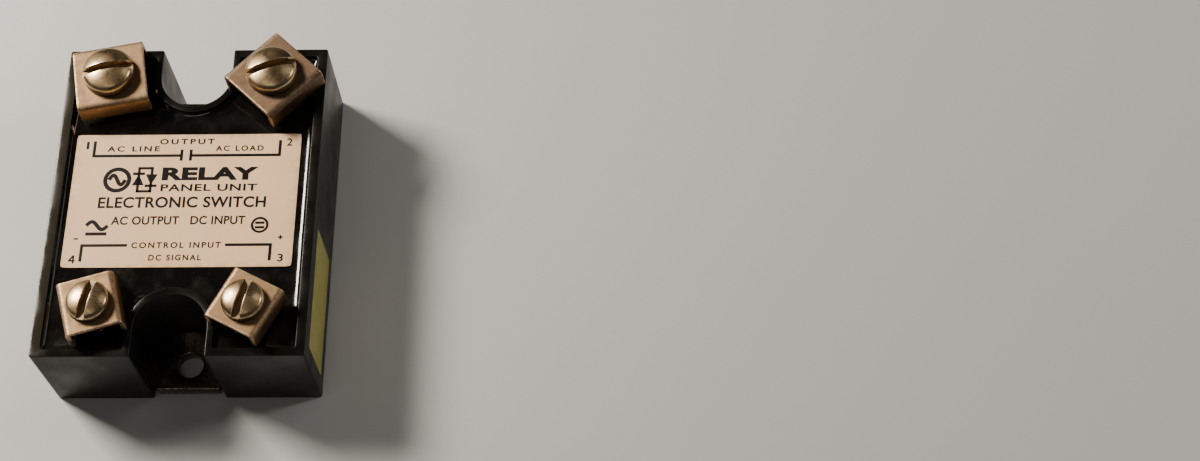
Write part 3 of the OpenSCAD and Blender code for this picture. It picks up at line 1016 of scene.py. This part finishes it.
@dataclass
class TerminalScrew:
    """A slotted screw with a domed head and real thread turns."""

    number: int
    size: ScrewSize
    slot_turn: float
    lobe_steps: int = 44

    def _angles(self) -> tuple[Array, Array]:
        """Angles of one lobe from the slot's end round to its other end, and across one slot end."""
        start = math.asin(self.size.slot_width / 2 / self.size.head_radius)
        return np.linspace(start, math.pi - start, self.lobe_steps), np.linspace(-start, start, 5)

    def _lobe(self, skin: Skin, way: int) -> None:
        """Adds one half of the head, with its slot wall and upper side; X runs along the slot.

        A point's distance from the axis goes from the slot's edge, half / sin(angle), to the rim.

        Args:
            skin: the skin to add to.
            way: 1 for one half, and -1 for the half that is turned half a turn from it.
        """
        s = self.size
        angle, _ = self._angles()
        half = s.slot_width / 2
        share = np.concatenate([[0, 0.008, 0.02, 0.035, 0.055], np.linspace(0.09, 0.86, 12),
                                [0.9, 0.93, 0.955, 0.975, 0.99, 0.998, 1.0]])
        inner = half / np.sin(angle)
        radius = inner + (s.head_radius - inner) * share[:, None]
        x, y = radius * np.cos(angle), radius * np.sin(angle)
        top = s.dome(radius) - s.lip(y - half)
        by_slot = np.clip(1 - (y - half) / 0.3, 0, 1) * 0.9
        by_rim = np.clip((radius - s.head_radius) / 0.5 + 1, 0, 1) * 0.4
        turned = (way, way, 1)
        skin.grid(np.stack([x, y, top], axis=-1) * turned, wear=np.clip(by_slot + by_rim, 0, 1))
        down = np.linspace(0, 1, 6)[:, None]
        # Both walls get darker towards the slot's floor: painted shade on the slot wall and the head's upper
        # side.
        for row, wear in ((0, 0.3 - 1.1 * down), (-1, -0.8 * down)):
            z = top[row] + (s.slot_floor - top[row]) * down
            wall = [np.broadcast_to(x[row], z.shape), np.broadcast_to(y[row], z.shape), z]
            skin.grid(np.stack(wall, axis=-1) * turned, wear=wear)

    def _floor(self, skin: Skin) -> None:
        """Adds the slot's floor out to the rim at both ends."""
        s = self.size
        angle, _ = self._angles()
        half = s.slot_width / 2
        across = np.linspace(-half, half, 5)
        along = half / np.tan(angle)
        rim = np.sqrt(s.head_radius**2 - across**2)
        rows = np.vstack([rim, np.repeat(along[:, None], 5, axis=1), -rim])
        cross = np.broadcast_to(across, rows.shape)
        open_end = np.clip((np.abs(rows) - 0.75 * s.head_radius) / (0.25 * s.head_radius), 0, 1)
        floor = np.stack([rows, cross, np.full(rows.shape, s.slot_floor)], axis=-1)
        # The floor is painted darker towards its middle, and not at its open ends: painted shade in the slot.
        skin.grid(floor, wear=0.6 * open_end - 0.6)

    def _shank(self, skin: Skin) -> None:
        """Adds the lower side, the underside and the thread.

        The thread's radius is the outer radius less a triangle wave of z / pitch - angle / turn,
        which fades out under the head and towards the tip's chamfer.
        """
        s = self.size
        lobe, end = self._angles()
        ring = np.concatenate([lobe, math.pi + end[1:-1], math.pi + lobe, end[1:-1]])
        ring = np.unique(np.round(ring % TURN, 9))
        r = s.head_radius
        profile = np.array([[r, s.slot_floor], [r, 0.5 * s.slot_floor], [r, 0.16], [r - 0.05, 0.04],
                            [r - 0.14, 0.0], [0.5 * (r + s.thread_radius), 0.0], [s.thread_radius, 0.0]])
        # The head's lower side and underside are painted darker: painted shade under the head.
        revolve(skin, profile, ring, wear=np.array([-0.8, -0.85, -0.9, -0.95, -1.0, -1.0, -1.0]))
        depth = 0.6 * s.pitch
        z = np.linspace(0, -s.length, int(s.length / s.pitch * 10))
        zz, angle = np.meshgrid(z, ring, indexing="ij")
        phase = (zz / s.pitch - angle / TURN) % 1.0
        wave = np.clip(np.abs(phase - 0.5) * 2 * 1.3 - 0.15, 0, 1)
        fade = np.clip((-zz - 0.5) / 0.8, 0, 1)
        tip = np.clip(s.thread_radius - 0.75 + (s.length + zz), 0, s.thread_radius)
        radius = np.minimum(s.thread_radius - 0.02 - depth * wave * fade, tip)
        radius[0] = s.thread_radius
        points = np.stack([radius * np.cos(angle), radius * np.sin(angle), zz], axis=-1)
        skin.grid(points, wear=(1 - wave) * 0.5 * fade, wrap=True).fan(points[-1], (0, 0, -s.length))

    def build(self, seat: Sequence[float]) -> bpy.types.Object:
        """The screw with its head's underside at the seat point."""
        skin = Skin()
        for way in (1, -1):
            self._lobe(skin, way)
        self._floor(skin)
        self._shank(skin)
        piece = skin.build(f"terminal_screw_{self.number}_slotted", sharp=42)
        return place(piece, seat, self.slot_turn)


@dataclass
class ClampPlate:
    """A square plate with two opposite edges bent down, pressed from one strip of sheet."""

    number: int
    side: float
    thickness: float
    drop: float
    hole_radius: float
    lips_turn: float
    cut_edge: float = 0.1

    @property
    def bend(self) -> float:
        """Outer radius of the bends: a little over the sheet's thickness."""
        return self.thickness + 0.08

    def _along_strip(self, u: Array) -> tuple[Array, Array]:
        """Where a length u along the strip's outer face lies: (x, z) after bending.

        Flat out to side / 2 - bend, then a quarter turn of radius bend, then straight down.
        """
        flat = self.side / 2 - self.bend
        past = np.clip(np.abs(u) - flat, 0, None)
        turn = np.clip(past / self.bend, 0, math.pi / 2)
        straight = np.clip(past - self.bend * math.pi / 2, 0, None)
        x = np.minimum(np.abs(u), flat) + self.bend * np.sin(turn)
        return np.sign(u) * x, -self.bend * (1 - np.cos(turn)) - straight

    def _edges(self, half: float) -> Array:
        """Positions across the strip, with one close to each cut edge so that wear stays narrow."""
        middle = np.linspace(-half + 0.9, half - 0.9, 9)
        return np.concatenate([[-half, -half + 0.3], middle, [half - 0.3, half]])

    def _face(self) -> Skin:
        """The outer face: a square round the hole, and a bent strip on two of its sides."""
        half = self.side / 2
        flat = half - self.bend
        across = self._edges(half)
        along = np.linspace(-flat, flat, 9)
        square = np.vstack([
            np.column_stack([np.full(len(across), flat), across])[:-1],
            np.column_stack([along[::-1], np.full(9, half)])[:-1],
            np.column_stack([np.full(len(across), -flat), across[::-1]])[:-1],
            np.column_stack([along, np.full(9, -half)])[:-1],
        ])
        angle = np.arctan2(square[:, 1], square[:, 0])
        hole = np.column_stack([np.cos(angle), np.sin(angle)]) * self.hole_radius
        share = np.array([0, 0.12, 0.35, 0.65, 0.9, 1.0])[:, None, None]
        rows = hole + (square - hole) * share
        wear = np.zeros(rows.shape[:2])
        wear[0] = 0.6
        wear[-1] = np.where(np.abs(square[:, 1]) > half - 1e-6, 1.0, 0.0)
        flat_face = np.concatenate([rows, np.zeros_like(rows[..., :1])], axis=-1)
        skin = Skin().grid(flat_face, wear=wear, wrap=True)
        arc = self.bend * math.pi / 2
        tail = self.drop - self.bend
        u = flat + np.concatenate([np.linspace(0, arc, 9), arc + np.array([0.35, 0.7, 0.95, 1.0]) * tail])
        # Wear on the bend and at the cut edge; down the lip, values below 0 paint it darker towards the
        # bottom as painted shade.
        bend_wear_and_shade = np.array([0, 0.2, 0.45, 0.6, 0.55, 0.3, 0.0, -0.35, -0.7, -0.8, -0.8, -0.5, 0.5])
        for way in (1, -1):
            x, z = self._along_strip(way * u)
            strip = np.stack([np.repeat(x[:, None], len(across), 1), np.repeat(across[None], len(u), 0),
                              np.repeat(z[:, None], len(across), 1)], axis=-1)
            edge = np.where(np.abs(np.abs(across) - half) < 1e-6, 1.0, 0.0)
            skin.grid(strip, wear=np.maximum(bend_wear_and_shade[:, None], edge))
        return skin

    def build(self, at: Sequence[float]) -> bpy.types.Object:
        """The face thickened inwards, with its cut edges rounded, in its place."""
        piece = self._face().build(f"clamp_plate_{self.number}_bent", sharp=60)
        outward = piece.data.polygons[0].normal.z > 0
        sheet = piece.modifiers.new("sheet", "SOLIDIFY")
        sheet.thickness = self.thickness * MM
        sheet.offset = -1.0 if outward else 1.0
        cut = piece.modifiers.new("cut", "BEVEL")
        cut.width = self.cut_edge * MM
        cut.segments = 3
        cut.limit_method = "ANGLE"
        cut.angle_limit = math.radians(55)
        bake(piece, 35)
        return place(piece, at, self.lips_turn - 90)


@dataclass
class Post:
    """A bored terminal post with a hexagonal foot."""

    name: str
    radius: float
    foot_radius: float
    foot_height: float
    bore_radius: float
    bore_floor: float
    low: float
    high: float
    edge: float = 0.25
    steps: int = 96

    def build(self, at: Sequence[float]) -> bpy.types.Object:
        """Turned about its axis; the foot's radius follows a hexagon."""
        angles = np.arange(self.steps) * TURN / self.steps
        e, r, b = self.edge, self.radius, self.bore_radius
        body = np.array([[b, self.bore_floor], [b, self.high - 0.4], [b + 0.3, self.high], [r - e, self.high],
                         [r - 0.3 * e, self.high - 0.3 * e], [r, self.high - e],
                         [r, self.low + self.foot_height]])
        skin = Skin()
        revolve(skin, body, angles, wear=np.array([0, 0.2, 0.8, 0.5, 1, 0.5, 0]))
        foot = np.array([[self.foot_radius, self.low + self.foot_height], [self.foot_radius, self.low]])

        def hexagon(radius: Array, angle: Array) -> Array:
            """Radius of a hexagon of that corner radius: the flat's distance over the cosine."""
            return radius * math.cos(math.pi / 6) / np.cos(angle % (math.pi / 3) - math.pi / 6)

        revolve(skin, foot, angles, radius_at=hexagon)
        corner = hexagon(np.full(self.steps, self.foot_radius), angles)
        outer = np.column_stack([corner * np.cos(angles), corner * np.sin(angles)])
        skin.grid(np.stack([lift(circle(r, self.steps), foot[0, 1]), lift(outer, foot[0, 1])]), wrap=True)
        skin.fan(lift(outer, self.low), (0, 0, self.low))
        skin.fan(lift(circle(b, self.steps), self.bore_floor), (0, 0, self.bore_floor))
        return place(skin.build(self.name, sharp=35), at)


def bake(piece: bpy.types.Object, sharp: float) -> None:
    """Applies a piece's modifiers, and shades the result."""
    graph = bpy.context.evaluated_depsgraph_get()
    mesh = bpy.data.meshes.new_from_object(piece.evaluated_get(graph))
    old = piece.data
    piece.modifiers.clear()
    piece.data = mesh
    mesh.name = old.name
    bpy.data.meshes.remove(old)
    shade(mesh, sharp)


# ---------------------------------------------------------------------------------------------
# Top label
# ---------------------------------------------------------------------------------------------


@dataclass
class TopLabel:
    """The printed film on the potting, and its generic print."""

    line: float = 0.52
    ink_rise: float = 0.012
    ink_sunk: float = 0.01
    ink_height: float = 0.008
    ink_edge: float = 0.002
    corner: float = 0.45
    curled: float = 0.09

    def __post_init__(self) -> None:
        """Reads the film's place from the frame."""
        self.low, self.high = node_box("top_label")
        self.middle = (self.low + self.high) / 2
        self.parts: list[bpy.types.Object] = []

    def curl(self, x: Array, y: Array) -> Array:
        """Lift of the film off the potting: a trace at its corners, x and y from its middle."""
        reach = np.abs(x) / 19.0 * np.abs(y) / 12.5
        return self.curled * np.clip(reach, 0, 1) ** 5

    def film(self) -> bpy.types.Object:
        """A thin rounded sheet with a fine grid, so that it can curl."""
        w, l = (self.high - self.low)[:2] / 2
        thick = self.high[2] - self.low[2]
        corner = self.corner
        x, y = np.meshgrid(np.linspace(-w, w, 49), np.linspace(-l, l, 33), indexing="ij")
        over_x = np.clip(np.abs(x) - (w - corner), 0, corner)
        over_y = np.clip(np.abs(y) - (l - corner), 0, corner)
        reach = np.hypot(over_x, over_y)
        pull = np.where(reach > corner, corner / np.maximum(reach, 1e-9), 1.0)
        x = np.sign(x) * (np.abs(x) - over_x + over_x * pull)
        y = np.sign(y) * (np.abs(y) - over_y + over_y * pull)
        border = np.maximum(np.abs(x) / w, np.abs(y) / l) ** 24
        top = np.stack([x, y, thick + self.curl(x, y)], axis=-1)
        under = np.stack([x, y, self.curl(x, y)], axis=-1)
        rim = [np.concatenate([s[:, 0], s[-1, 1:], s[-2::-1, -1], s[0, -2:0:-1]]) for s in (top, under)]
        skin = Skin().grid(top, wear=border).grid(under).grid(np.stack(rim), wear=0.6, wrap=True)
        return place(skin.build("top_label_sheet", sharp=40), (self.middle[0], self.middle[1], self.low[2]))

    def bar(self, start: Sequence[float], stop: Sequence[float], width: Optional[float] = None) -> None:
        """A straight printed line between two points, x and y from the label's middle."""
        a, b = np.asarray(start, float), np.asarray(stop, float)
        way = (b - a) / np.linalg.norm(b - a)
        across = np.array([-way[1], way[0]]) * (width or self.line) / 2
        self.shape(np.array([a - across, b - across, b + across, a + across]))

    def shape(self, outline: Array, holes: Sequence[Array] = ()) -> None:
        """A filled printed shape, kept for the final join."""
        skin = slab(Skin(), outline, (0, self.ink_height), self.ink_edge, holes, steps=1)
        self.parts.append(skin.build("shape"))

    def words(self, text: str, centre: Sequence[float], height: float, width: float, spacing: float = 1.0,
              weight: float = 0.0) -> None:
        """A line of generic lettering fitted to a height and width.

        Args:
            text: the letters.
            centre: middle of the line, from the label's middle.
            height: height of its capitals.
            width: full width of the line.
            spacing: distance between letters, where 1 is the font's own.
            weight: thickening of the strokes, in parts of the letter height.
        """
        curve = bpy.data.curves.new("words", "FONT")
        curve.body = text
        curve.space_character = spacing
        curve.offset = weight
        curve.extrude = 0.01  # any thickness: it is scaled to the ink's height below
        curve.resolution_u = 6
        holder = stand("words", curve)
        mesh = bpy.data.meshes.new_from_object(holder.evaluated_get(bpy.context.evaluated_depsgraph_get()))
        bpy.data.objects.remove(holder)
        bpy.data.curves.remove(curve)
        points = points_of(mesh).astype(float)
        low, high = points.min(0), points.max(0)
        size = np.array([width, height, self.ink_height])
        points = (points - low) / (high - low) * size - size / 2 * (1, 1, 0)
        points += (*centre, 0.0)
        mesh.vertices.foreach_set("co", (points * MM).astype(np.float32).ravel())
        mesh.update()
        self.parts.append(stand("words", mesh))

    def brackets(self) -> None:
        """The four lines that tie the terminal numbers together, and the open contact."""
        top, bottom = 8.45, -8.45
        self.bar((-16.3, top), (-1.04, top))
        self.bar((0.54, top), (15.9, top))
        for x in (-16.1, 15.7):
            self.bar((x, top - 0.2), (x, 11.3))
        for x in (-1.04, 0.54):
            self.bar((x, 7.45), (x, 9.6))
        self.bar((-16.3, bottom), (-8.5, bottom))
        self.bar((7.9, bottom), (15.7, bottom))
        for x in (-16.1, 15.5):
            self.bar((x, bottom + 0.2), (x, -11.4))

    def wave(self, start: Sequence[float], width: float, swing: float, weight: float) -> None:
        """One period of a sine wave as a band: y = swing * sin(turn * x / width)."""
        t = np.linspace(0, TURN, 49)
        line = np.column_stack([width * t / TURN, swing * np.sin(t)]) + np.asarray(start, float)
        slope = np.column_stack([np.full_like(t, width / TURN), swing * np.cos(t)])
        side = np.column_stack([-slope[:, 1], slope[:, 0]]) / np.linalg.norm(slope, axis=1, keepdims=True)
        self.shape(np.vstack([line - side * weight / 2, (line + side * weight / 2)[::-1]]))

    def ring(self, centre: Sequence[float], radius: float, weight: float) -> None:
        """A printed ring."""
        outer = circle(radius, 72, centre)
        self.shape(outer, [inset(outer, weight)])

    def emblem(self) -> None:
        """Two bold generic circuit symbols: a wave in a ring, and a pair of opposed switching diodes."""
        level, half, reach, stroke = 3.85, 1.02, 1.05, 0.48
        self.ring((-11.55, level), 2.4, 0.72)
        self.wave((-12.95, level), 2.8, 0.9, 0.68)
        for x, way in ((-7.95, 1), (-5.75, -1)):
            tip, back = level + way * reach, level - way * reach
            corners = [(x - half, back), (x + half, back), (x, tip)]
            self.shape(rounded(corners if way > 0 else corners[::-1], 0.08, 3))
            self.bar((x - half, tip + way * 0.1), (x + half, tip + way * 0.1), 0.5)
            self.bar((x, 1.55), (x, 6.15), stroke)
        for y in (1.65, 6.05):
            self.bar((-8.19, y), (-5.51, y), stroke)

    def marks(self) -> None:
        """A wave over a bar, and two bars in a ring, for the two kinds of current."""
        self.wave((-15.8, -4.75), 3.6, 0.72, 0.68)
        self.bar((-15.8, -6.3), (-12.2, -6.3), 0.6)
        self.ring((13.4, -4.8), 1.5, 0.42)
        self.bar((12.6, -4.4), (14.2, -4.4), 0.45)
        self.bar((12.6, -5.25), (14.2, -5.25), 0.45)

    def lettering(self) -> None:
        """Generic words, the numbers 1 to 3 as letters and 4 as three strokes, a minus and a plus."""
        for line in (
            ("OUTPUT", (-0.3, 11.15), 1.05, 9.4, 1.4, 0.03),
            ("AC LINE", (-9.4, 9.8), 1.05, 9.0, 1.35, 0.03),
            ("AC LOAD", (8.8, 9.8), 1.05, 8.2, 1.35, 0.03),
            ("RELAY", (4.2, 4.95), 2.5, 16.4, 1.05, 0.05),
            ("PANEL UNIT", (4.2, 2.3), 1.35, 16.4, 1.1, 0.026),
            ("ELECTRONIC SWITCH", (-0.1, -0.45), 2.1, 28.4, 1.05, 0.026),
            ("AC OUTPUT   DC INPUT", (-0.4, -3.85), 1.6, 22.6, 1.05, 0.024),
            ("CONTROL INPUT", (-0.3, -8.45), 1.1, 15.0, 1.35, 0.03),
            ("DC SIGNAL", (-0.3, -10.75), 1.1, 8.8, 1.35, 0.03),
            ("1", (-17.3, 10.5), 1.45, 0.45, 1.0, 0.02),
            ("2", (17.3, 10.9), 1.45, 0.95, 1.0, 0.02),
            ("3", (17.3, -10.9), 1.45, 0.95, 1.0, 0.02),
        ):
            self.words(*line)
        for stroke in (
            ((-17.25, -10.25), (-17.98, -11.3), 0.3),
            ((-18.02, -11.25), (-16.95, -11.25), 0.3),
            ((-17.25, -10.25), (-17.25, -11.75), 0.3),
            ((-17.65, -7.2), (-16.85, -7.2), 0.28),
            ((16.65, -7.1), (17.45, -7.1), 0.28),
            ((17.05, -7.5), (17.05, -6.7), 0.28),
        ):
            self.bar(*stroke)

    def print(self) -> bpy.types.Object:
        """All print as one piece, laid on the film."""
        self.brackets()
        self.emblem()
        self.marks()
        self.lettering()
        joined = bmesh.new()
        for part in self.parts:
            joined.from_mesh(part.data)
            mesh = part.data
            bpy.data.objects.remove(part)
            bpy.data.meshes.remove(mesh)
        bmesh.ops.recalc_face_normals(joined, faces=joined.faces)
        mesh = bpy.data.meshes.new("top_label_print")
        joined.to_mesh(mesh)
        joined.free()
        points = points_of(mesh)
        points[:, 2] += (self.curl(points[:, 0] / MM, points[:, 1] / MM) + self.ink_rise - self.ink_sunk) * MM
        mesh.vertices.foreach_set("co", points.ravel())
        return place(stand("top_label_print", mesh), (self.middle[0], self.middle[1], self.high[2]))


# ---------------------------------------------------------------------------------------------
# The whole relay
# ---------------------------------------------------------------------------------------------


@dataclass(frozen=True)
class TerminalKind:
    """Sizes that the post, plate and screw of one kind of terminal share."""

    post_radius: float
    thread_radius: float
    plate_side: float
    sheet: float
    foot_height: float = 1.6
    bore_gap: float = 0.05
    bore_below: float = 0.6
    plate_gap: float = 0.25
    slot_width: float = 1.25
    side_share: float = 0.62
    slot_share: float = 0.44


LOAD = TerminalKind(3.75, 2.085, 12.0, 0.9)
CONTROL = TerminalKind(3.0, 1.75, 9.5, 0.8)


@dataclass
class Relay:
    """Builds every visible piece from the frame, and paints what the frame already shows."""

    kinds: tuple[TerminalKind, ...] = (LOAD, LOAD, CONTROL, CONTROL)
    lips_turns: tuple[float, ...] = (11.0, 46.5, 62.5, 106.5)
    slot_turns: tuple[float, ...] = (12.0, 18.0, 76.0, 78.0)
    # Number of the plate that takes the darker copy of the plate finish.
    tarnished: int = 2
    notch_wall: float = 1.15
    tongue_gap: float = 0.8
    pocket_gap: float = 0.05
    post_nodes: tuple[str, ...] = ("load_terminal_1", "load_terminal_2",
                                   "input_terminal_3", "input_terminal_4")

    def axis(self, index: int) -> tuple[float, float]:
        """Plan position of a terminal's axis: the middle of its round post."""
        low, high = node_box(self.post_nodes[index])
        return tuple((low + high)[:2] / 2)

    def case(self) -> Case:
        """The case, its sticker and the sizes that other pieces need."""
        low, high = node_box("case_shell")
        pour, _ = node_box("potting")
        plan = NotchedPlan(high[0], high[1], HOLE_CENTRE, NOTCH_RADIUS)
        case = Case(plan, pour[0] - low[0], pour[1] - low[1], self.notch_wall, high[2], pour[2])
        dress(case.shell(), Finish.CASE.material(), ROOT, "case_plastic", "case_shell")
        dress(case.sticker(), Finish.SIDE_FILM.material(), ROOT, "side_label_paper", "side_label")
        return case

    def filling(self, case: Case) -> None:
        """The potting and the base plate."""
        level = node_box("potting")[1][2]
        posts = [(*self.axis(index), kind.post_radius) for index, kind in enumerate(self.kinds)]
        dress(Potting(case, level, posts).fill(), Finish.POTTING.material(), ROOT, "potting_epoxy", "potting")
        tongue = case.plan.notch_radius - self.tongue_gap
        pocket = (node_box("base_plate")[1][0], case.plan.half_length - case.end_wall - self.pocket_gap)
        dress(BasePlate().plate(tongue, pocket), Finish.BASE.material(), ROOT, "base_metal", "base_plate")

    def label(self) -> None:
        """The film and its print."""
        label = TopLabel()
        dress(label.film(), Finish.TOP_FILM.material(), ROOT, "top_label_film", "top_label")
        dress(label.print(), Finish.INK.material(), ROOT, "top_label_film")

    def terminal(self, index: int) -> None:
        """One terminal: post, clamp plate and screw; index 0 and 1 are the output pair."""
        number, kind, node = index + 1, self.kinds[index], self.post_nodes[index]
        x, y = self.axis(index)
        clamp_low, clamp_high = node_box(f"clamp_plate_{number}")
        screw_low, screw_high = node_box(f"terminal_screw_{number}")
        post_low, post_high = node_box(node)
        top = clamp_high[2]
        height = screw_high[2] - top
        size = ScrewSize((screw_high[0] - screw_low[0]) / 2, height, kind.side_share * height,
                         kind.thread_radius, top - screw_low[2], kind.slot_width, kind.slot_share * height)
        screw = TerminalScrew(number, size, self.slot_turns[index]).build((x, y, top))
        dress(screw, Finish.SCREW.material(), f"screw_{number}", "screw_nickel", f"terminal_screw_{number}")
        plate = ClampPlate(number, kind.plate_side, kind.sheet, top - clamp_low[2],
                           kind.thread_radius + kind.plate_gap, self.lips_turns[index]).build((x, y, top))
        finish = Finish.CLAMP_DARKER if number == self.tarnished else Finish.CLAMP
        dress(plate, finish.material(), f"clamp_{number}", "clamp_nickel", f"clamp_plate_{number}")
        post = Post(f"{node}_turned", kind.post_radius, (post_high[0] - post_low[0]) / 2, kind.foot_height,
                    kind.thread_radius + kind.bore_gap, screw_low[2] - kind.bore_below,
                    post_low[2], post_high[2])
        dress(post.build((x, y, 0)), Finish.POST.material(), ROOT, "post_brass", node)

    def electronics(self, nodes: dict[str, bpy.types.Object]) -> None:
        """Paints the sealed pieces, whose CAD shapes stay."""
        finishes = {
            Finish.ALUMINA: ("ceramic_substrate",),
            Finish.SILICON: ("thyristor_a", "thyristor_b"),
            Finish.COPPER: ("copper_pads", "cathode_strap_a", "cathode_strap_b", "load_lead_1", "load_lead_2",
                            "input_lead_3", "input_lead_4"),
            Finish.TINNED: ("gate_leads", "snubber_leads"),
            Finish.BOARD: ("control_board",),
            Finish.PACKAGE: ("optocoupler", "protection_diode", "input_transistor"),
            Finish.RESISTOR: ("input_resistor",),
            Finish.GATE_RESISTOR: ("gate_resistors",),
            Finish.SNUBBER: ("snubber_resistor",),
            Finish.CAPACITOR: ("snubber_capacitor",),
        }
        for finish, names in finishes.items():
            for name in names:
                if not nodes[name].material_slots:
                    nodes[name].data.materials.append(None)
                for held in nodes[name].material_slots:
                    held.material = finish.material()
                LOG.info("%s: painted", name)

    def build(self, nodes: dict[str, bpy.types.Object]) -> None:
        """Builds the pieces in order, from the case inwards and then the terminals."""
        case = self.case()
        self.filling(case)
        self.label()
        for index in range(len(self.kinds)):
            self.terminal(index)
        self.electronics(nodes)


# ---------------------------------------------------------------------------------------------
# Studio
# ---------------------------------------------------------------------------------------------


@dataclass
class Studio:
    """Floor, camera and lights, in metres."""

    camera_at: tuple[float, float, float] = (0.0784, -0.1497, 0.3119)
    look_at: tuple[float, float, float] = (0.0695, 0.0024, 0.0)
    upward: tuple[float, float, float] = (0.0064, 0.8988, 0.4382)
    lens: float = 59.14
    sensor: float = 36.0
    reach: float = 3.0
    sky: float = 0.045

    def floor(self) -> None:
        """A wide flat floor just under the object."""
        mesh = bpy.data.meshes.new("floor")
        corners = [(x * self.reach, y * self.reach, 0) for x, y in ((-1, -1), (1, -1), (1, 1), (-1, 1))]
        mesh.from_pydata(corners, [], [(0, 1, 2, 3)])
        floor = stand("floor", mesh)
        floor.data.materials.append(Finish.TABLE.material())

    def camera(self) -> None:
        """A camera that looks from one point to another with a given upward direction."""
        data = bpy.data.cameras.new("camera")
        data.lens = self.lens
        data.sensor_width = self.sensor
        data.clip_start = 0.01
        camera = stand("camera", data)
        back = (Vector(self.camera_at) - Vector(self.look_at)).normalized()
        right = Vector(self.upward).cross(back).normalized()
        up = back.cross(right)
        turn = Matrix((right, up, back)).transposed().to_4x4()
        camera.matrix_world = Matrix.Translation(self.camera_at) @ turn
        bpy.context.scene.camera = camera

    def lamp(self, name: str, at: Sequence[float], size: tuple[float, float], power: float,
             colour: Colour) -> None:
        """A rectangular soft light that faces the object."""
        data = bpy.data.lights.new(name, "AREA")
        data.shape = "RECTANGLE"
        data.size, data.size_y = size
        data.energy = power
        data.color = colour
        lamp = stand(name, data)
        lamp.location = at
        lamp.rotation_euler = (-Vector(at)).to_track_quat("-Z", "Y").to_euler()

    def lights(self) -> None:
        """A window-like key from the back left, three weaker panels and a dim sky."""
        self.lamp("key", (-0.256, 0.16, 0.297), (0.125, 0.105), 3.15, (1.0, 0.91, 0.8))
        self.lamp("front", (-0.12, -0.27, 0.8), (0.5, 0.05), 0.36, (1.0, 0.95, 0.88))
        self.lamp("back", (0.4, 0.28, 0.7), (0.25, 0.25), 0.25, (1.0, 0.95, 0.88))
        self.lamp("side", (0.5, 0.12, 0.3), (0.08, 0.12), 0.68, (1.0, 0.94, 0.86))
        world = bpy.data.worlds.new("studio")
        world.use_nodes = True
        sky = world.node_tree.nodes["Background"]
        sky.inputs["Color"].default_value = (1.0, 0.98, 0.92, 1.0)
        sky.inputs["Strength"].default_value = self.sky
        bpy.context.scene.world = world

    def build(self) -> None:
        """Sets the whole studio up."""
        self.camera()
        self.floor()
        self.lights()


def main() -> None:
    """Loads the frame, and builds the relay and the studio."""
    logging.basicConfig(level=logging.INFO, format="%(name)s: %(message)s")
    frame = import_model()
    Studio().build()
    Relay().build(frame["nodes"])


if __name__ == "__main__":
    main()
